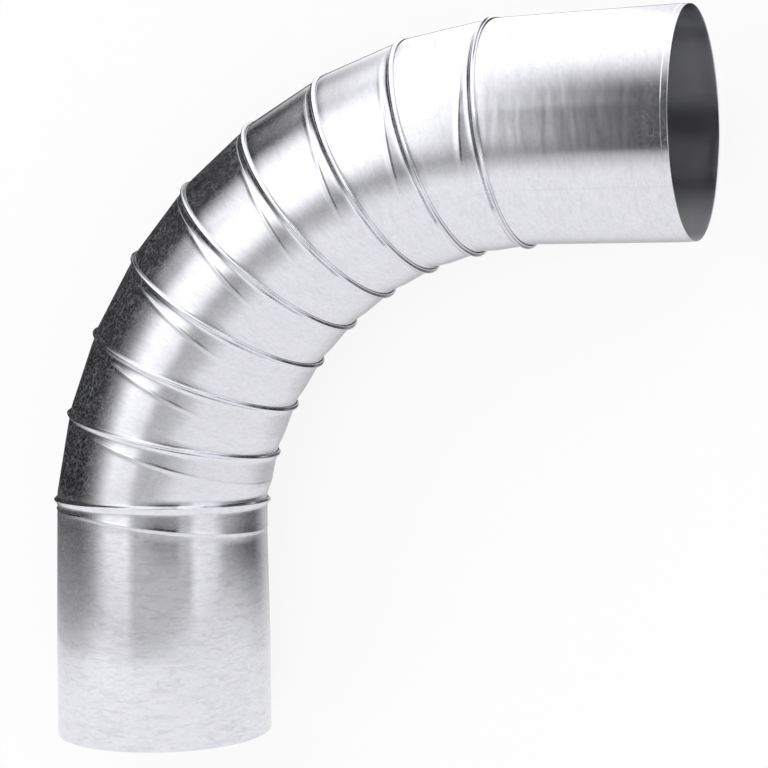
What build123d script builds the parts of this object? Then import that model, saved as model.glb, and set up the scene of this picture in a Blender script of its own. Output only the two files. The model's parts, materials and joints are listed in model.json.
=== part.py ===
"""Ninety degree duct elbow of galvanised sheet: two collars and eight gores joined by rolled ring seams.

The elbow lies on its side with the plane of its bend level. The lower collar opens towards -Y and the
upper collar towards +X. The origin is at the bottom, in the middle of the space that the elbow takes up.
Lengths are in millimetres and angles in degrees.
"""

import os
from math import atan, atan2, cos, degrees, radians, sin, tan

from build123d import *

# Sheet and bend
pipe_diameter = 150.0  # outside of the gores and of the upper collar
sheet = 0.6
gore_count = 8
gore_length = 49.4  # from seam to seam along the centreline
first_turn = 12.0  # at the seam of the lower collar
gore_turn = 10.0  # at each seam between two gores
last_turn = 8.0  # at the seam of the upper collar
seam_lean = 1.0  # tilt of a seam from square to the piece below it

# Collars
lower_collar_length = 167.5  # from the rim to the first seam, along the centreline
socket_widening = 2.8  # what the lower collar gains in diameter up to its rim, to take a pipe end
socket_length = 60.0  # from the rim to where the lower collar starts to narrow
upper_collar_length = 120.5  # from the last seam to the rim, along the centreline
spigot_length = 90.0  # the part of the upper collar, up to its rim, that is straight and round
lip_narrowing = 0.6  # what the upper collar loses in diameter at its drawn-in rim
lip_length = 4.0
lip_step = 0.8  # length over which the wall draws in to the lip

# Rolled seam: the top of each piece is a bell, rolled over a bead around the bottom of the next piece
seam_height = 2.4  # from the wall to the crest of the bell
flare_length = 6.5  # from the wall up to the far edge of the crest
knee_length = 3.3  # from the knee, where the flare steepens, to the far edge of the crest
knee_height = 0.7
crest_width = 1.1
fall_angle = 38.0  # slope of the bell from the crest down to the next piece's wall
seam_gap = 0.15  # between the two sheets of a seam
tuck_outer = 8.5  # how far the next piece reaches in, on the outside of the bend
tuck_inner = 20.0  # the same on the inside of the bend
ridge_height = 0.35  # ridge that the tucked end presses into the wall around it
ridge_width = 3.4

# Worked out from the sizes above
pipe_radius = pipe_diameter / 2
socket_radius = pipe_radius + socket_widening / 2
lip_radius = pipe_radius - lip_narrowing / 2
tuck_middle = (tuck_outer + tuck_inner) / 2
tuck_lean = degrees(atan((tuck_inner - tuck_outer) / pipe_diameter))


def level_frame(origin, angle):
    """A frame in the plane of the bend. Z points along the pipe, at this angle from +Y towards +X.

    X points to the outside of the bend.
    """
    turned = radians(angle)
    along = Vector(sin(turned), cos(turned), 0)
    return Plane(origin, x_dir=Vector(-cos(turned), sin(turned), 0), z_dir=along)


def pipe_frames():
    """The frames of the lower rim, of the seams in order and of the upper rim."""
    turns = [first_turn] + [gore_turn] * (gore_count - 1) + [last_turn]
    lengths = [lower_collar_length] + [gore_length] * gore_count
    frame = level_frame(Vector(0, 0, 0), 0)
    angle = 0.0
    rim, seams = frame, []
    for length, turn in zip(lengths, turns):
        middle = frame.origin + frame.z_dir * length
        seams.append(level_frame(middle, angle + seam_lean))
        angle += turn
        frame = level_frame(middle, angle)
    last_rim = level_frame(frame.origin + frame.z_dir * upper_collar_length, angle)
    return rim, seams, last_rim


def inset(profile, depth):
    """A profile of (height, radius) points moved towards the axis, its corners mitred and its ends level."""
    slopes = [atan2(b[1] - a[1], b[0] - a[0]) for a, b in zip(profile, profile[1:])]
    moved = []
    for index, (height, radius) in enumerate(profile):
        before = slopes[max(index - 1, 0)]
        after = slopes[min(index, len(slopes) - 1)]
        if index in (0, len(profile) - 1):
            moved.append((height, radius - depth / cos(before)))
            continue
        reach = depth / cos((after - before) / 2)
        lean = (after + before) / 2
        moved.append((height + reach * sin(lean), radius - reach * cos(lean)))
    return moved


def bell_profile():
    """Outside of a bell, from the wall to its edge. Height 0 is the seam, at the far edge of the crest."""
    fall = radians(fall_angle)
    crest = pipe_radius + seam_height
    edge = pipe_radius + seam_gap + sheet / cos(fall)
    return [
        (-flare_length, pipe_radius),
        (-knee_length, pipe_radius + knee_height),
        (-crest_width, crest),
        (0, crest),
        ((crest - edge) / tan(fall), edge),
    ]


def bead_profile():
    """Outside of the tucked end and of its bead, which follow the inside of the bell around them."""
    inside = inset([(-tuck_middle, pipe_radius)] + bell_profile(), sheet + seam_gap)
    edge, brow = inside[-1], inside[-2]
    share = (brow[1] - pipe_radius) / (brow[1] - edge[1])
    return inside[:-1] + [(brow[0] + share * (edge[0] - brow[0]), pipe_radius)]


def ring(frame, height, radius, lean=0.0):
    """The line around a pipe of this radius where a plane cuts it that rises by lean towards frame's X."""
    tilt = radians(lean)
    middle = frame.origin + frame.z_dir * height
    across = frame.x_dir * cos(tilt) + frame.z_dir * sin(tilt)
    normal = frame.z_dir * cos(tilt) - frame.x_dir * sin(tilt)
    return (Plane(middle, x_dir=across, z_dir=normal) * Ellipse(radius / cos(tilt), radius)).wire()


def tucked_end(seam):
    """Rings of a piece's first end, outside and inside: the tucked end, the bead and the wall's start."""
    outside = bead_profile() + [(gore_length, pipe_radius)]
    skins = []
    for profile in (outside, inset(outside, sheet)):
        rings = [ring(seam, *profile[0], tuck_lean)]
        rings += [ring(seam, *point) for point in profile[1:-1]]
        skins.append(rings)
    return skins


def belled_end(seam):
    """Rings of a piece's last end, outside and inside: the ridge over the tucked end, and the bell."""
    ridge = [
        (-tuck_middle - ridge_width / 2, pipe_radius),
        (-tuck_middle, pipe_radius + ridge_height),
        (-tuck_middle + ridge_width / 2, pipe_radius),
    ]
    outside = [(-gore_length, pipe_radius)] + ridge + bell_profile()
    skins = []
    for profile in (outside, inset(outside, sheet)):
        rings = [ring(seam, *point, tuck_lean) for point in profile[1:4]]
        rings += [ring(seam, *point) for point in profile[4:]]
        skins.append(rings)
    return skins


def open_end(rim, outside):
    """The sheet of an open end, turned about the rim's axis. Its outside is a profile of (height, radius)."""
    inside = [(height, radius - sheet) for height, radius in outside]
    section = Plane(rim.origin, x_dir=rim.x_dir, z_dir=-rim.y_dir)
    corners = [(radius, height) for height, radius in outside + inside[::-1]]
    return revolve(section * Polygon(*corners, align=None), Axis(rim.origin, rim.z_dir))


def sheet_piece(first_end, last_end):
    """A piece of sheet between the skins that run through the outside and the inside rings of its ends."""
    outside, inside = (
        Solid.make_loft(first + last, ruled=True) for first, last in zip(first_end, last_end)
    )
    return outside - inside


def lower_collar(rim, seam):
    """The collar with the socket, which narrows from there to its bell."""
    join = [[ring(rim, socket_length, socket_radius - depth)] for depth in (0, sheet)]
    socket = [(0, socket_radius), (socket_length, socket_radius)]
    return sheet_piece(join, belled_end(seam)) + open_end(rim, socket)


def upper_collar(seam, rim):
    """The collar with the spigot, whose lip is drawn in."""
    join = [[ring(rim, -spigot_length, pipe_radius - depth)] for depth in (0, sheet)]
    spigot = [
        (-spigot_length, pipe_radius),
        (-lip_length - lip_step, pipe_radius),
        (-lip_length, lip_radius),
        (0, lip_radius),
    ]
    return sheet_piece(tucked_end(seam), join) + open_end(rim, spigot)


def elbow_pieces():
    """Every piece by name, from the lower collar up."""
    rim, seams, last_rim = pipe_frames()
    pieces = {"lower_collar": lower_collar(rim, seams[0])}
    for number, (seam, next_seam) in enumerate(zip(seams, seams[1:]), start=1):
        pieces[f"gore_{number}"] = sheet_piece(tucked_end(seam), belled_end(next_seam))
    pieces["upper_collar"] = upper_collar(seams[-1], last_rim)
    return pieces


pieces = elbow_pieces()
space = Compound(list(pieces.values())).bounding_box()
bottom_middle = Vector(space.center().X, space.center().Y, space.min.Z)

os.makedirs("parts", exist_ok=True)
for name, piece in pieces.items():
    export_step(piece.moved(Location(-bottom_middle)), f"parts/{name}.step")
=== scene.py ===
import json

import bpy
import numpy as np
from mathutils import Matrix


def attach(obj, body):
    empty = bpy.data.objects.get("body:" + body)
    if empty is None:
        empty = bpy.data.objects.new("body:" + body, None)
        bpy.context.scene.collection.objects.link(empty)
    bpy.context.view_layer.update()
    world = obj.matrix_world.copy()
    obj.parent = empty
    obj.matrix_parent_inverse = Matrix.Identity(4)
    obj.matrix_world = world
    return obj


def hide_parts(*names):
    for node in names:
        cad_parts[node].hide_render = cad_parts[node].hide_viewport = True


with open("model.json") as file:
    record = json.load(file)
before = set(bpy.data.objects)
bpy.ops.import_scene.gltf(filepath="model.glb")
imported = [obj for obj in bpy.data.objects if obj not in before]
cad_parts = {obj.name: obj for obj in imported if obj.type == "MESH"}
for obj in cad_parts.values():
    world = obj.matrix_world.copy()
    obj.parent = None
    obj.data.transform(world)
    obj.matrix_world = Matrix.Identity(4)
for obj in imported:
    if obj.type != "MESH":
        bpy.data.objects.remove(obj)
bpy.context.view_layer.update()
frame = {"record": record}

scene = bpy.context.scene
mm = 0.001

# The elbow's line and sheet, in millimetres and degrees
elbow = {
    "pipeRadius": 75.0,
    "sheetThickness": 0.6,
    "goreCount": 8,
    "goreLength": 49.4,
    "lowerLength": 167.5,
    "upperLength": 120.5,
    "firstTurn": 12.0,
    "goreTurn": 10.0,
    "lastTurn": 8.0,
    "seamLean": 1.0,
    "stepsAround": 256,
    "wallRows": 14,
    "insideStride": 2,  # the inside keeps one row in so many
    "edgeSteps": 5,  # of the half circle around a sheet's edge
}

# The rolled seam: a bell at the end of each piece, over a bead on the next one. Places are along the pipe
# from the seam. The ridge's start and fade are degrees around from the bend's outside
seam = {
    "height": 2.4,
    "flareLength": 7.3,
    "flareCurve": 2.1,
    "flareRows": 22,
    "crestPlace": -0.9,
    "edgePlace": 0.75,
    "edgeHeight": 0.95,
    "fallRows": 14,
    "beadDepth": 0.95,  # below the bell's outside
    "wallPlaces": (1.5, 2.2, 2.4, 4.0),
    "tuckMiddle": 12.2,
    "tuckSwing": 9.0,
    "tuckLeast": 9.4,
    "tuckRows": (0.0, 0.5, 3.0),  # from the tucked end's edge
    "ridgeHeight": 0.34,
    "ridgeWidth": 4.4,
    "ridgeRows": 17,
    "ridgeStraight": 0.6,  # how much of the climb is a straight ramp
    "ridgeBrow": 0.1,  # where the climb ends, from -0.5 to 0.5 across the ridge
    "ridgeKept": 0.4,
    "ridgeStart": (30.0, 75.0),
    "ridgeFade": (95.0, 130.0),
    "ridgeInside": (1, 0.6, 0.15, 0.05, 0, 0, 0, 0, 0),  # share left on the bend's inside, seam by seam
}

# The two open ends. Rows are at these distances from the rim
openEnds = {
    "socketWidening": 1.4,
    "socketLength": 60.0,
    "socketRims": (0.0, 0.15, 0.4),
    "socketStart": 2.0,
    "socketRows": 20,
    "spigotPlaces": (12.0, 8.0),
    "lipNarrowing": 0.2,
    "lipLength": 4.0,
    "lipStep": 0.6,
    "lipCrease": 0.2,
    "lipMiddle": 2.5,
    "spigotRims": (0.5, 0.2, 0.0),
}

# Waves rolled into the sheet, in millimetres
waviness = {"count": 14, "mostAround": 5, "length": 38.0, "height": 0.02}

turns = np.linspace(0, 2 * np.pi, elbow["stepsAround"], endpoint=False)
pipeRadius = elbow["pipeRadius"]


# Three unit vectors at an angle from +Y towards +X: to the bend's outside, up, and along the pipe
def pipeFrame(place, angle):
    a = np.radians(angle)
    outward = np.array([-np.cos(a), np.sin(a), 0.0])
    along = np.array([np.sin(a), np.cos(a), 0.0])
    return place, outward, np.array([0.0, 0.0, 1.0]), along


# Adds up straight lengths that turn at each seam. A seam leans a little from square to the piece below
def pipeLine():
    count = elbow["goreCount"]
    turnsAtSeams = [elbow["firstTurn"]] + [elbow["goreTurn"]] * (count - 1) + [elbow["lastTurn"]]
    angles = np.concatenate([[0.0], np.cumsum(turnsAtSeams)])
    lengths = np.array([elbow["lowerLength"]] + [elbow["goreLength"]] * count + [elbow["upperLength"]])
    ways = np.stack([np.sin(np.radians(angles)), np.cos(np.radians(angles)), 0 * angles], axis=1)
    mounts = {mount["name"]: mount for mount in frame["record"]["mounts"]}
    start = np.array(mounts["socket"]["pos_m"]) / mm
    places = start + np.concatenate([[np.zeros(3)], np.cumsum(lengths[:, None] * ways, axis=0)])
    seamAngles = angles[:-1] + elbow["seamLean"]
    seams = [pipeFrame(place, angle) for place, angle in zip(places[1:-1], seamAngles)]
    return pipeFrame(places[0], 0.0), seams, pipeFrame(places[-1], angles[-1])


# Point = place + outward * r cos u + up * r sin u + along * h, for tables of heights and radii
def ringRows(pipe, heights, radii):
    place, outward, up, along = pipe
    heights, radii = np.broadcast_arrays(heights, radii)
    across = (radii * np.cos(turns))[..., None] * outward
    side = (radii * np.sin(turns))[..., None] * up
    return place + across + side + heights[..., None] * along


# Moves a profile towards the axis by a depth, square to its slope s: (h + d sin s, r - d cos s)
def insetProfile(heights, radii, depth):
    slope = np.arctan2(np.gradient(radii, axis=0), np.gradient(heights, axis=0))
    return heights + depth * np.sin(slope), radii - depth * np.cos(slope)


# 0 below the first limit, 1 above the second, and 3 t^2 - 2 t^3 of the way between
def smoothStep(value, limits):
    t = np.clip((value - limits[0]) / (limits[1] - limits[0]), 0, 1)
    return t * t * (3 - 2 * t)


# Where the tucked end's edge lies, which leans: swing cos u - middle, but clear of the flare
def tuckLine():
    return -np.maximum(seam["tuckMiddle"] - seam["tuckSwing"] * np.cos(turns), seam["tuckLeast"])


# The bell: R + H sin^2 (90 degrees * t^c) up to its crest, then down to its edge as half a cosine
def bellProfile():
    up = np.linspace(0, 1, seam["flareRows"])[:, None]
    down = np.linspace(0, 1, seam["fallRows"] + 1)[1:, None]
    start, crest, edge = -seam["flareLength"], seam["crestPlace"], seam["edgePlace"]
    heights = np.concatenate([start + up * (crest - start), crest + down * (edge - crest)])
    rise = seam["height"] * np.sin(np.pi / 2 * up ** seam["flareCurve"]) ** 2
    fall = (seam["height"] - seam["edgeHeight"]) * (1 - np.cos(np.pi * down)) / 2
    radii = pipeRadius + np.concatenate([rise, seam["height"] - fall])
    return np.broadcast_arrays(heights + 0 * turns, radii + 0 * turns)


# The ridge over the tucked end: R + height * f, where f rises as a softened ramp to the brow, then falls
# to a kept share. It is nothing on the bend's outside, and falls to a share of its height on the inside
def ridgeProfile(innerShare):
    across = np.linspace(-0.5, 0.5, seam["ridgeRows"])[:, None]
    ramp = np.clip((across + 0.5) / (seam["ridgeBrow"] + 0.5), 0, 1)
    straight = seam["ridgeStraight"]
    climb = straight * ramp + (1 - straight) * smoothStep(ramp, (0, 1))
    shape = climb - (1 - seam["ridgeKept"]) * smoothStep(across, (seam["ridgeBrow"], 0.5))
    fromOutside = np.degrees(np.arccos(np.cos(turns)))
    fade = 1 - (1 - innerShare) * smoothStep(fromOutside, seam["ridgeFade"])
    rise = seam["ridgeHeight"] * smoothStep(fromOutside, seam["ridgeStart"]) * fade
    return tuckLine() + across * seam["ridgeWidth"], pipeRadius + rise * shape


# The tucked end and its bead follow the bell around them at a depth, then the wall comes out to R
def tuckedProfile():
    heights, radii = insetProfile(*bellProfile(), seam["beadDepth"])
    tuck = tuckLine() + np.array(seam["tuckRows"])[:, None]
    wall = np.array(seam["wallPlaces"])[:, None] + 0 * turns
    tuckRadii = pipeRadius - seam["beadDepth"] + 0 * tuck
    allRadii = np.concatenate([tuckRadii, radii[:-1], pipeRadius + 0 * wall])
    return np.concatenate([tuck, heights[:-1], wall]), allRadii


# Mixes the last row of one end and the first row of the other: (1 - t) A + t B
def wallBetween(fromRow, toRow):
    share = np.linspace(0, 1, elbow["wallRows"] + 2)[1:-1, None, None]
    return (1 - share) * fromRow + share * toRow


# Half a circle between the two skins of a sheet's edge: middle + out * cos + ahead * sin
def roundedEdge(outerRow, innerRow, ahead):
    angle = np.linspace(0, np.pi, elbow["edgeSteps"] + 1)[1:-1, None, None]
    middle, reach = (outerRow + innerRow) / 2, (outerRow - innerRow) / 2
    lead = ahead / np.linalg.norm(ahead, axis=-1, keepdims=True) * elbow["sheetThickness"] / 2
    return middle + reach * np.cos(angle) + lead * np.sin(angle)


# Way from the first row along each line of a grid: the sum of the steps between its rows
def wayAlong(rows):
    steps = np.linalg.norm(np.diff(rows, axis=0), axis=-1)
    return np.concatenate([np.zeros((1, rows.shape[1])), steps.cumsum(axis=0)])


# Small waves in a rolled sheet: a sum of cosines of the turn and of the way along, each with its own phase
def sheetWaves(rows, seed):
    rng = np.random.default_rng(seed)
    count = waviness["count"]
    around = rng.integers(1, waviness["mostAround"] + 1, count)[:, None, None]
    along = rng.uniform(-1, 1, count)[:, None, None] * 2 * np.pi / waviness["length"]
    phase = rng.uniform(0, 2 * np.pi, count)[:, None, None]
    waves = np.cos(around * turns + along * wayAlong(rows) + phase)
    return waviness["height"] * waves.sum(axis=0) / np.sqrt(count)


# Where the marks lie, R cos u, R sin u and the way along the pipe, which is alike on both skins of a sheet,
# and the way that is left to its last edge
def sheetPlace(rows, outerCount, start):
    way = wayAlong(rows)
    half = way[outerCount - 1]
    way = np.where(way <= half, way, 2 * half - way)
    place = [pipeRadius * np.cos(turns) + 0 * way, pipeRadius * np.sin(turns) + 0 * way, start + way]
    return np.stack(place, axis=-1), half - way


# How strongly the marks show: not at all inside, and outside as on the wall, or mixed with the rim near it
def markStrengths(marks, toRim, inside):
    shown = np.array(marks["wall"]) + 0 * toRim[..., None]
    if "rim" in marks:
        nearRim = np.clip(1 - toRim / marks["rimReach"], 0, 1)[..., None]
        shown = shown + nearRim * (np.array(marks["rim"]) - marks["wall"])
    return (1 - inside[..., None]) * shown


# Puts a value or a vector at every point of a mesh, under a name that its material reads
def pointField(mesh, name, kind, values):
    field = mesh.attributes.new(name, kind, "POINT")
    part = "vector" if kind == "FLOAT_VECTOR" else "value"
    field.data.foreach_set(part, values.astype(np.float32).ravel())


# Joins skins and edges into one closed grid of quads, each row to the next and the last to the first
def gridMesh(name, rows):
    index = np.arange(rows[..., 0].size).reshape(rows.shape[:2])
    ahead, beside = np.roll(index, -1, axis=0), np.roll(index, -1, axis=1)
    quads = np.stack([index, beside, np.roll(ahead, -1, axis=1), ahead], axis=-1).reshape(-1, 4)
    mesh = bpy.data.meshes.new(name)
    mesh.from_pydata((rows.reshape(-1, 3) * mm).tolist(), [], quads.tolist())
    mesh.polygons.foreach_set("use_smooth", np.ones(len(quads), bool))
    return mesh


# One piece of sheet from the rows of its outside and inside at both ends. Only its wall swells with the
# waves, which fade out towards the ends as a raised cosine
def sheetPiece(name, node, firstEnd, lastEnd, start, seed, marks):
    outer, inner = (
        np.concatenate([first, wallBetween(first[-1], last[0]), last])
        for first, last in zip(firstEnd, lastEnd)
    )
    endCounts = len(firstEnd[0]), len(lastEnd[0])
    swell = np.pad(np.hanning(elbow["wallRows"]), endCounts)[:, None]
    out = (outer - inner) / np.linalg.norm(outer - inner, axis=-1, keepdims=True)
    bulge = (swell * sheetWaves(outer, seed))[..., None] * out
    outer, inner = outer + bulge, inner + bulge
    lastEdge = roundedEdge(outer[-1], inner[-1], outer[-1] - outer[-2])
    firstEdge = roundedEdge(inner[0], outer[0], outer[0] - outer[1])
    kept = np.append(np.arange(0, len(inner) - 1, elbow["insideStride"]), len(inner) - 1)
    rows = np.concatenate([outer, lastEdge, inner[kept[::-1]], firstEdge])
    place, toRim = sheetPlace(rows, len(outer), start)
    inside = (np.arange(len(rows)) >= len(outer))[:, None] + 0 * turns
    mesh = gridMesh(name, rows)
    pointField(mesh, "pipePlace", "FLOAT_VECTOR", place * mm)
    pointField(mesh, "marks", "FLOAT_VECTOR", markStrengths(marks, toRim, inside))
    pointField(mesh, "inside", "FLOAT", inside)
    mesh.update()
    piece = bpy.data.objects.new(name, mesh)
    scene.collection.objects.link(piece)
    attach(piece, "root")
    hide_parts(node)
    return piece


# The rows of both skins of an end: the profile of its outside, and the same inset by the sheet
def endRows(pipe, heights, radii):
    inner = insetProfile(heights, radii, elbow["sheetThickness"])
    return ringRows(pipe, heights, radii), ringRows(pipe, *inner)


# The ridge, then a row half way down to the wall, then the bell
def belledEnd(pipe, innerShare):
    ridgeHeights, ridgeRadii = ridgeProfile(innerShare)
    bellHeights, bellRadii = bellProfile()
    between = (ridgeHeights[-1:] + bellHeights[:1]) / 2
    heights = np.concatenate([ridgeHeights, between, bellHeights])
    radii = np.concatenate([ridgeRadii, (ridgeRadii[-1:] + pipeRadius) / 2, bellRadii])
    return endRows(pipe, heights, radii)


# The tucked end of a piece above a seam, which is alike at every seam
def tuckedEnd(pipe):
    return endRows(pipe, *tuckedProfile())


# The wide rim: straight at R + widening, with rows close to the rounded edge
def socketEnd(pipe):
    rims = elbow["sheetThickness"] / 2 + np.array(openEnds["socketRims"])
    wall = np.linspace(openEnds["socketStart"], openEnds["socketLength"], openEnds["socketRows"])
    heights = np.concatenate([rims, wall])[:, None] + 0 * turns
    return endRows(pipe, heights, pipeRadius + openEnds["socketWidening"] + 0 * heights)


# The narrow rim: straight at R, then drawn in by the lip's step in a straight line, with rows at its creases
def spigotEnd(pipe):
    lip, step, crease = openEnds["lipLength"], openEnds["lipStep"], openEnds["lipCrease"]
    creases = (lip + step + crease, lip + step, lip + step / 2, lip, lip - crease)
    rims = elbow["sheetThickness"] / 2 + np.array(openEnds["spigotRims"])
    fromRim = np.array([*openEnds["spigotPlaces"], *creases, openEnds["lipMiddle"], *rims])[:, None]
    share = np.clip((lip + step - fromRim) / step, 0, 1)
    return endRows(pipe, 0 * turns - fromRim, pipeRadius - openEnds["lipNarrowing"] * share + 0 * turns)


# How strongly veins, rolling waves and hairlines show on a piece's wall and, where given, at its last rim
collarMarks = {"wall": (0.7, 1.0, 1.0)}
goreMarks = {"wall": (1.0, 0.7, 0.6)}
mouthMarks = {"wall": (0.1, 13.0, 0.6), "rim": (0.8, 9.0, 0.7), "rimReach": 28.0}

rim, seams, lastRim = pipeLine()
bells = [belledEnd(pipe, share) for pipe, share in zip(seams, seam["ridgeInside"])]
tucks = [tuckedEnd(pipe) for pipe in seams]
goreNumbers = range(1, elbow["goreCount"] + 1)
names = ["lowerCollar", *(f"gore{number}" for number in goreNumbers), "upperCollar"]
nodes = ["lower_collar", *(f"gore_{number}" for number in goreNumbers), "upper_collar"]
starts = [0] + [elbow["lowerLength"] + count * elbow["goreLength"] for count in range(len(seams))]
marks = [collarMarks] + [goreMarks] * elbow["goreCount"] + [mouthMarks]
ends = [[socketEnd(rim)] + tucks, bells + [spigotEnd(lastRim)]]
seeds = range(1, len(names) + 1)
pieces = [sheetPiece(*sizes) for sizes in zip(names, nodes, *ends, starts, seeds, marks)]
print("sheet pieces:", len(pieces), "triangles:", sum(2 * len(piece.data.polygons) for piece in pieces))


# Galvanised sheet: its colours, gloss and shares of matt zinc, and the size of its marks in metres
zinc = {
    "colour": (0.888, 0.89, 0.942, 1),
    "cloudColour": (0.81, 0.812, 0.86, 1),
    "cloudStrength": 0.9,
    "hatchColour": (0.74, 0.742, 0.785, 1),
    "lineColour": (0.6, 0.603, 0.64, 1),
    "mattColour": (0.74, 0.742, 0.785, 1),
    # The inside's colour is darker and greyer than the outside's: painted shade inside the pipe
    "insideShadedColour": (0.735, 0.737, 0.75, 1),
    "gloss": 0.085,
    "insideGloss": 0.16,
    "plainShare": 0.003,
    "insideShare": 0.01,
    "dustShare": 0.42,
    "dustReach": (0.03, 0.066),  # from the pipe's axis towards the bend's inside
    "speckShare": 0.05,
    "mottleShare": 0.034,
    "veinShare": 0.12,
    "veinCell": 0.0042,
    "veinBend": 0.0011,
    "veinBends": 0.8,  # bends of a vein in the length of a cell
    "veinBendDetail": 3.0,
    "veinWidth": 0.18,
    "patchLeast": 0.35,
    "hairLevels": 5,
    "hairWidth": 0.01,
    "hairStrength": 0.55,
    "weldStrength": 0.35,
    "weldTurn": 126.0,
    "weldStart": 0.4639,
    "weldWidth": 0.0004,
    "waveHeight": 0.000007,
    "grainHeight": 0.0000008,
}

# The noises behind the marks: their size around the pipe and along it in metres, how they are made up, and
# the heights between which a mark comes out
noises = {
    "grain": {"size": (0.0011, 0.0011), "detail": 2, "roughness": 0.6, "shown": (0.5, 0.72)},
    "mottle": {"size": (0.0026, 0.0032), "detail": 3, "roughness": 0.6, "shown": (0.45, 0.72)},
    "cloud": {"size": (0.0032, 0.0022), "detail": 3, "roughness": 0.6, "shown": (0.3, 0.75)},
    "stretch": {"size": (0.0042, 0.00546), "detail": 3, "roughness": 0.5, "shown": (0.36, 0.56)},
    "patch": {"size": (0.012, 0.016), "detail": 2, "roughness": 0.5, "shown": (0.35, 0.62)},
    "hair": {"size": (0.05, 0.012), "detail": 4, "roughness": 0.6, "distortion": 0.3},
    "hairBreak": {"size": (0.012, 0.006), "detail": 3, "roughness": 0.5, "shown": (0.48, 0.66)},
    "hatch": {
        "size": (0.012, 0.0032), "detail": 3, "roughness": 0.6, "distortion": 1.0, "shown": (0.44, 0.7),
    },
    "rolled": {"size": (0.035, 0.007), "detail": 0, "roughness": 0.4, "distortion": 0.5},
}


# Adds a node of a kind, with its settings and inputs by name. An input is a value or a node's output
def addNode(tree, kind, settings=None, inputs=None):
    node = tree.nodes.new("ShaderNode" + kind)
    for name, value in (settings or {}).items():
        setattr(node, name, value)
    for name, value in (inputs or {}).items():
        if isinstance(value, bpy.types.NodeSocket):
            tree.links.new(value, node.inputs[name])
        else:
            node.inputs[name].default_value = value
    return node


# One step of arithmetic between values or outputs
def mathOf(tree, operation, *values):
    return addNode(tree, "Math", {"operation": operation}, dict(enumerate(values))).outputs[0]


# One step of arithmetic between vectors. The dot product comes out as a value
def vectorOf(tree, operation, inputs):
    node = addNode(tree, "VectorMath", {"operation": operation}, inputs)
    return node.outputs["Value" if operation == "DOT_PRODUCT" else "Vector"]


# One part, X, Y or Z, of a vector
def partOf(tree, vector, name):
    return addNode(tree, "SeparateXYZ", {}, {"Vector": vector}).outputs[name]


# 0 below low, 1 above high and 3 t^2 - 2 t^3 between
def stepOf(tree, value, low, high):
    inputs = {"Value": value, "From Min": low, "From Max": high}
    return addNode(tree, "MapRange", {"interpolation_type": "SMOOTHSTEP"}, inputs).outputs["Result"]


# (1 - share) first + share second. Inputs 6 and 7 of a Mix node are its two colours, and output 2 their mix
def mixColours(tree, share, first, second):
    inputs = {0: share, 6: first, 7: second}
    return addNode(tree, "Mix", {"data_type": "RGBA"}, inputs).outputs[2]


# The noise of a name on the place divided by its size
def noiseOf(tree, place, name):
    noise = noises[name]
    around, along = noise["size"]
    scaled = vectorOf(tree, "MULTIPLY", {0: place, 1: (1 / around, 1 / around, 1 / along)})
    inputs = {"Vector": scaled, "Scale": 1.0, "Detail": noise["detail"], "Roughness": noise["roughness"]}
    inputs["Distortion"] = noise.get("distortion", 0.0)
    return addNode(tree, "TexNoise", {}, inputs).outputs["Fac"]


# A mark of a name: its noise as a smooth step between the heights that it is shown at
def markOf(tree, place, name):
    return stepOf(tree, noiseOf(tree, place, name), *noises[name]["shown"])


# Thin lines where a noise crosses each of so many levels: 1 on them, 0 at this width in the noise's height
def linesOf(tree, noise, levels, width):
    away = mathOf(tree, "PINGPONG", mathOf(tree, "MULTIPLY", noise, levels), 0.5)
    return mathOf(tree, "SUBTRACT", 1.0, stepOf(tree, away, 0.0, width * levels))


# Veins between the zinc's grains: 1 near the edges of bent cells, times stretches and stronger patches
def zincVeins(tree, place):
    cell = zinc["veinCell"]
    inputs = {"Vector": place, "Scale": zinc["veinBends"] / cell, "Detail": zinc["veinBendDetail"]}
    bends = addNode(tree, "TexNoise", {}, inputs).outputs["Color"]
    push = vectorOf(tree, "SCALE", {0: bends, "Scale": zinc["veinBend"]})
    inputs = {"Vector": vectorOf(tree, "ADD", {0: place, 1: push}), "Scale": 1 / cell}
    edge = addNode(tree, "TexVoronoi", {"feature": "DISTANCE_TO_EDGE"}, inputs).outputs["Distance"]
    veins = mathOf(tree, "SUBTRACT", 1.0, stepOf(tree, edge, 0.0, zinc["veinWidth"]))
    veins = mathOf(tree, "MULTIPLY", veins, markOf(tree, place, "stretch"))
    least = zinc["patchLeast"]
    patches = mathOf(tree, "MULTIPLY_ADD", markOf(tree, place, "patch"), 1 - least, least)
    return mathOf(tree, "MULTIPLY", veins, patches)


# The weld: 1 on the plane through the pipe's axis at its turn, 0 at its width from it, on one side of the
# axis and past its start
def weldLine(tree, place):
    a = np.radians(zinc["weldTurn"])
    off = vectorOf(tree, "DOT_PRODUCT", {0: place, 1: (-np.sin(a), np.cos(a), 0)})
    side = vectorOf(tree, "DOT_PRODUCT", {0: place, 1: (np.cos(a), np.sin(a), 0)})
    away = mathOf(tree, "ABSOLUTE", off)
    near = mathOf(tree, "SUBTRACT", 1.0, stepOf(tree, away, 0.0, zinc["weldWidth"]))
    near = mathOf(tree, "MULTIPLY", near, mathOf(tree, "GREATER_THAN", side, 0.0))
    past = mathOf(tree, "GREATER_THAN", partOf(tree, place, "Z"), zinc["weldStart"])
    return mathOf(tree, "MULTIPLY", near, past)


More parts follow.
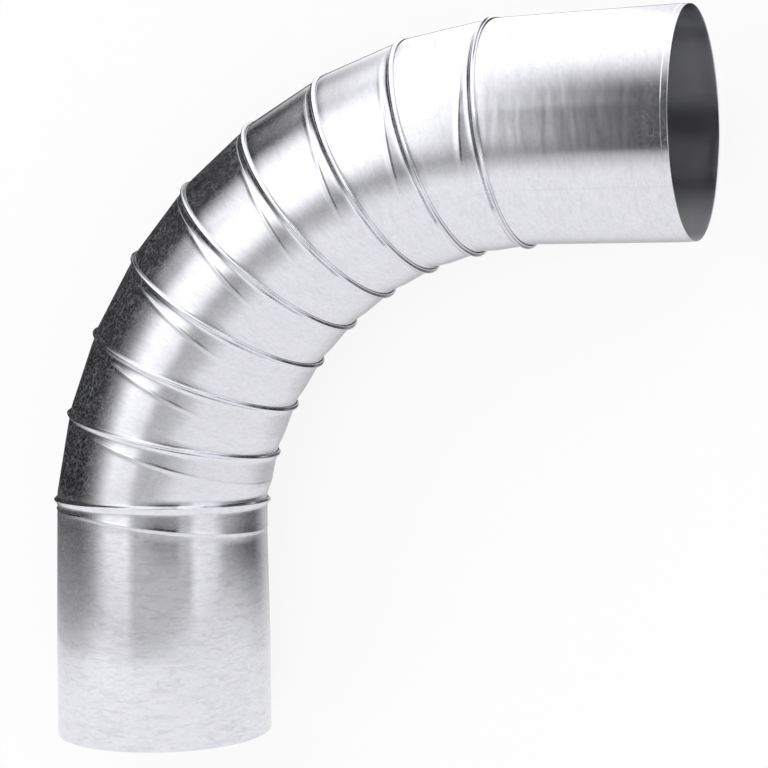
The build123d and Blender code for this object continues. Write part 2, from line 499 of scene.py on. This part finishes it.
# Matt share: a little everywhere, veins, specks and mottles as a piece shows them, and inside also dust,
# which lies on the side of the pipe towards the bend's inside
def mattShare(tree, place, grain, shown, inside):
    specks = stepOf(tree, grain, *noises["grain"]["shown"])
    marked = mathOf(tree, "MULTIPLY", zincVeins(tree, place), zinc["veinShare"])
    marked = mathOf(tree, "MULTIPLY_ADD", specks, zinc["speckShare"], marked)
    marked = mathOf(tree, "MULTIPLY_ADD", markOf(tree, place, "mottle"), zinc["mottleShare"], marked)
    matt = mathOf(tree, "MULTIPLY_ADD", marked, shown, zinc["plainShare"])
    toInside = mathOf(tree, "MULTIPLY", partOf(tree, place, "X"), -1.0)
    dust = stepOf(tree, toInside, *zinc["dustReach"])
    dust = mathOf(tree, "MULTIPLY_ADD", dust, zinc["dustShare"], zinc["insideShare"])
    return mathOf(tree, "MULTIPLY_ADD", inside, dust, matt)


# Colour: the sheet's, mixed in turn with clouds, with a soft wavy hatch, with the stronger of hairlines that
# break off and the weld, and on the inside with a darker colour that is painted shade
def zincColour(tree, place, shown, inside):
    hairs = linesOf(tree, noiseOf(tree, place, "hair"), zinc["hairLevels"], zinc["hairWidth"])
    hairs = mathOf(tree, "MULTIPLY", hairs, markOf(tree, place, "hairBreak"))
    hairs = mathOf(tree, "MULTIPLY", mathOf(tree, "MULTIPLY", hairs, shown), zinc["hairStrength"])
    weld = mathOf(tree, "MULTIPLY", weldLine(tree, place), zinc["weldStrength"])
    hatch = mathOf(tree, "MULTIPLY", markOf(tree, place, "hatch"), shown)
    clouds = mathOf(tree, "MULTIPLY", markOf(tree, place, "cloud"), zinc["cloudStrength"])
    colour = mixColours(tree, clouds, zinc["colour"], zinc["cloudColour"])
    colour = mixColours(tree, hatch, colour, zinc["hatchColour"])
    colour = mixColours(tree, mathOf(tree, "MAXIMUM", hairs, weld), colour, zinc["lineColour"])
    # Painted shade: the inside skin gets the darker inside colour
    return mixColours(tree, inside, colour, zinc["insideShadedColour"])


# Rolling waves around the pipe, times how they show, and the grain tilt the surface a little
def zincTilt(tree, place, grain, shown):
    rolled = mathOf(tree, "MULTIPLY", noiseOf(tree, place, "rolled"), shown)
    height = mathOf(tree, "MULTIPLY", rolled, zinc["waveHeight"])
    height = mathOf(tree, "MULTIPLY_ADD", grain, zinc["grainHeight"], height)
    inputs = {"Strength": 1.0, "Distance": 1.0, "Height": height}
    return addNode(tree, "Bump", {}, inputs).outputs["Normal"]


# A new material and its empty tree of nodes
def emptyMaterial(name):
    material = bpy.data.materials.new(name)
    material.use_nodes = True
    material.node_tree.nodes.clear()
    return material, material.node_tree


# The surface shows (1 - share) of the first shader and share of the second
def showMixed(tree, share, first, second):
    mixed = addNode(tree, "MixShader", {}, {0: share, 1: first, 2: second}).outputs["Shader"]
    addNode(tree, "OutputMaterial", {}, {"Surface": mixed})


# Bright metal and matt zinc, mixed by (1 - share) bright + share matt
def zincMaterial():
    material, tree = emptyMaterial("galvanisedSheet")
    place = addNode(tree, "Attribute", {"attribute_name": "pipePlace"}).outputs["Vector"]
    marks = addNode(tree, "Attribute", {"attribute_name": "marks"}).outputs["Vector"]
    inside = addNode(tree, "Attribute", {"attribute_name": "inside"}).outputs["Fac"]
    shown = addNode(tree, "SeparateXYZ", {}, {"Vector": marks}).outputs
    grain = noiseOf(tree, place, "grain")
    colour = zincColour(tree, place, shown["Z"], inside)
    tilt = zincTilt(tree, place, grain, shown["Y"])
    gloss = mathOf(tree, "MULTIPLY_ADD", inside, zinc["insideGloss"] - zinc["gloss"], zinc["gloss"])
    inputs = {"Base Color": colour, "Metallic": 1.0, "Roughness": gloss, "Normal": tilt}
    bright = addNode(tree, "BsdfPrincipled", {}, inputs).outputs["BSDF"]
    matt = addNode(tree, "BsdfDiffuse", {}, {"Color": zinc["mattColour"]}).outputs["BSDF"]
    showMixed(tree, mattShare(tree, place, grain, shown["X"], inside), bright, matt)
    return material


metal = zincMaterial()
for piece in pieces:
    piece.data.materials.append(metal)
print("zinc nodes:", len(metal.node_tree.nodes))

# Camera, worked out from the photo's seams and rims. The sensor is in millimetres, the rest in metres
camera = {
    "place": (0.483777, 0.038788, 1.201842),
    "yaw": 0.3927783,
    "pitch": -0.0292262,
    "roll": -0.0066031,
    "focalPixels": 1785.642,
    "framePixels": 768,
    "sensor": 36.0,
    "sees": (0.05, 20.0),
}


# Right, up and backward vectors of a camera that looks along -Z of the scene at no yaw, image up along +Y
def cameraFrame(yaw, pitch, roll):
    forward = np.array([-np.sin(yaw) * np.cos(pitch), np.sin(pitch), -np.cos(yaw) * np.cos(pitch)])
    right = np.array([np.cos(yaw), 0.0, -np.sin(yaw)])
    up = np.cross(right, forward)
    turnedRight = right * np.cos(roll) + up * np.sin(roll)
    return turnedRight, up * np.cos(roll) - right * np.sin(roll), -forward


lens = bpy.data.cameras.new("camera")
lens.lens = camera["focalPixels"] * camera["sensor"] / camera["framePixels"]
lens.sensor_width = camera["sensor"]
lens.clip_start, lens.clip_end = camera["sees"]
lensObject = bpy.data.objects.new("camera", lens)
scene.collection.objects.link(lensObject)
axes = np.stack(cameraFrame(camera["yaw"], camera["pitch"], camera["roll"]), axis=1)
lensPlace = Matrix(axes.tolist()).to_4x4()
lensPlace.translation = camera["place"]
lensObject.matrix_world = lensPlace
scene.camera = lensObject
print("camera lens:", round(lens.lens, 3))

# Floor, white paper that keeps a soft shadow. The metal reflects the studio cards instead of it
paper = {"half": 6.0, "colour": (0.95, 0.95, 0.95, 1), "glow": 0.85}


# Matt paper, mixed with a glow of strength 1 by min(camera ray + glossy ray + transmission ray, 1) * glow
def paperMaterial():
    material, tree = emptyMaterial("paper")
    rays = addNode(tree, "LightPath").outputs
    seen = mathOf(tree, "ADD", rays["Is Camera Ray"], rays["Is Glossy Ray"])
    seen = mathOf(tree, "MINIMUM", mathOf(tree, "ADD", seen, rays["Is Transmission Ray"]), 1.0)
    matt = addNode(tree, "BsdfDiffuse", {}, {"Color": paper["colour"]}).outputs["BSDF"]
    glow = addNode(tree, "Emission").outputs["Emission"]
    showMixed(tree, mathOf(tree, "MULTIPLY", seen, paper["glow"]), matt, glow)
    return material


floorMesh = bpy.data.meshes.new("floor")
corners = paper["half"] * np.array([[-1, -1, 0], [1, -1, 0], [1, 1, 0], [-1, 1, 0]])
floorMesh.from_pydata(corners.tolist(), [], [(0, 1, 2, 3)])
floorMesh.materials.append(paperMaterial())
floor = bpy.data.objects.new("floor", floorMesh)
floor.visible_glossy = False
scene.collection.objects.link(floor)

# Studio cards that only show in the metal, patches of spheres around cardCentre in metres and degrees.
# Across, 0 is above the lying pipe and 90 is +X, and upward, 90 is +Y. The table's are places in X and Z.
# Levels are at the corners, low left, low right, high left and high right, and soft is how far each edge
# fades in, left, right, low and high
cards = {
    "table": {
        "across": (-0.943, 1.456), "upward": (-1.12, 0.739), "y": -0.2475,
        "soft": (0.69, 1.2, 1.13, 0.32), "levels": (0.56, 1.32, 1.26, 0.34),
    },
    "frontPanel": {
        "across": (-17.4, 41), "upward": (-23.6, 71.4), "radius": 0.6,
        "soft": (34.4, 9, 9.7, 39.6), "levels": (0, 0.05, 0.35, 0),
    },
    "leftFlag": {
        "across": (-164, -36), "upward": (-33, 73.5), "radius": 0.66,
        "soft": (48.7, 36.8, 23, 30.4), "levels": (0.02, 0, 0, 0.1),
    },
    "rightPanel": {
        "across": (47.1, 100.2), "upward": (-33.3, 10.1), "radius": 0.76,
        "soft": (14, 21, 3.6, 6), "levels": (0.842, 0.428, 1.156, 1.2),
    },
    "rightFlag": {
        "across": (78.9, 185.2), "upward": (-35.9, 21), "radius": 1.4,
        "soft": (58.2, 40.6, 4.3, 4), "levels": (0, 0.186, 0.21, 0.065),
    },
    "highRightFlag": {
        "across": (96, 172), "upward": (6, 60), "radius": 1.38,
        "soft": (16, 12, 6, 14), "levels": (0.05, 0.02, 0.08, 0.04),
    },
    "backStrip": {
        "across": (165, 245), "upward": (4, 31), "radius": 1.3,
        "soft": (6, 14, 2, 7), "levels": (0.1, 0.1, 0.12, 0.12),
    },
    "frontBox": {
        "across": (-58, -5.1), "upward": (-25, 44.6), "radius": 1.42,
        "soft": (24.7, 12.2, 26, 1), "levels": (0.97, 1.35, 1.35, 1.35),
    },
    "overhead": {
        "across": (-177, 187.6), "upward": (15, 94.9), "radius": 1.8,
        "soft": (2.6, 3, 8.2, 6), "levels": (1.3, 1.3, 1.24, 1.3),
    },
    "room": {
        "across": (-180, 180), "upward": (-90, 90), "radius": 3.0,
        "soft": None, "levels": (0.536, 0.536, 0.536, 0.536),
    },
}
cardCentre = np.array([-0.02, 0.05, 0.0774])
cardPoints = (49, 25)  # across and upward


# A patch of a sphere, centre + R (sin a cos h, sin h, cos a cos h), or a level table between its edges
def cardRows(card, u, v):
    across = card["across"][0] + u * (card["across"][1] - card["across"][0])
    upward = card["upward"][0] + v * (card["upward"][1] - card["upward"][0])
    if "y" in card:
        return np.stack([across, card["y"] + 0 * u, upward], axis=-1)
    a, h = np.radians(across), np.radians(upward)
    way = np.stack([np.sin(a) * np.cos(h), np.sin(h), np.cos(a) * np.cos(h)], axis=-1)
    return cardCentre + card["radius"] * way


# A value at every point of a card, mixed from its four corners: first across, then upward
def cornerMix(values, u, v):
    low = (1 - u) * values[0] + u * values[1]
    high = (1 - u) * values[2] + u * values[3]
    return (1 - v) * low + v * high


# How much of a card is there: the product of the smooth steps of its four edges
def cardCover(card, u, v):
    cover = np.ones_like(u)
    if card["soft"]:
        wide, tall = np.ptp(card["across"]), np.ptp(card["upward"])
        for distance, soft in zip((u * wide, (1 - u) * wide, v * tall, (1 - v) * tall), card["soft"]):
            cover *= smoothStep(distance, (0, soft))
    return cover


# Glows at its level where it is there, and is clear elsewhere
def cardMaterial():
    material, tree = emptyMaterial("studioCard")
    level = addNode(tree, "Attribute", {"attribute_name": "level"}).outputs["Fac"]
    cover = addNode(tree, "Attribute", {"attribute_name": "cover"}).outputs["Fac"]
    clear = addNode(tree, "BsdfTransparent").outputs["BSDF"]
    glow = addNode(tree, "Emission", {}, {"Strength": level}).outputs["Emission"]
    showMixed(tree, cover, clear, glow)
    return material


# A grid of quads that only glossy rays see
def studioCard(name, card, material):
    u, v = np.meshgrid(*(np.linspace(0, 1, count) for count in cardPoints))
    index = np.arange(u.size).reshape(u.shape)
    corners = [index[:-1, :-1], index[:-1, 1:], index[1:, 1:], index[1:, :-1]]
    mesh = bpy.data.meshes.new(name)
    places = cardRows(card, u, v).reshape(-1, 3)
    mesh.from_pydata(places.tolist(), [], np.stack(corners, axis=-1).reshape(-1, 4).tolist())
    pointField(mesh, "level", "FLOAT", cornerMix(card["levels"], u, v))
    pointField(mesh, "cover", "FLOAT", cardCover(card, u, v))
    mesh.materials.append(material)
    cardObject = bpy.data.objects.new(name, mesh)
    cardObject.visible_camera = cardObject.visible_diffuse = cardObject.visible_shadow = False
    cardObject.visible_transmission = cardObject.visible_volume_scatter = False
    scene.collection.objects.link(cardObject)


glowingCard = cardMaterial()
for name, card in cards.items():
    studioCard(name, card, glowingCard)
print("studio cards:", len(cards))

# Plain white light from all around
world = bpy.data.worlds.new("studio")
scene.world = world
world.use_nodes = True
world.node_tree.nodes["Background"].inputs["Color"].default_value = (1, 1, 1, 1)
world.node_tree.nodes["Background"].inputs["Strength"].default_value = 1.0

scene.view_settings.view_transform = "Standard"
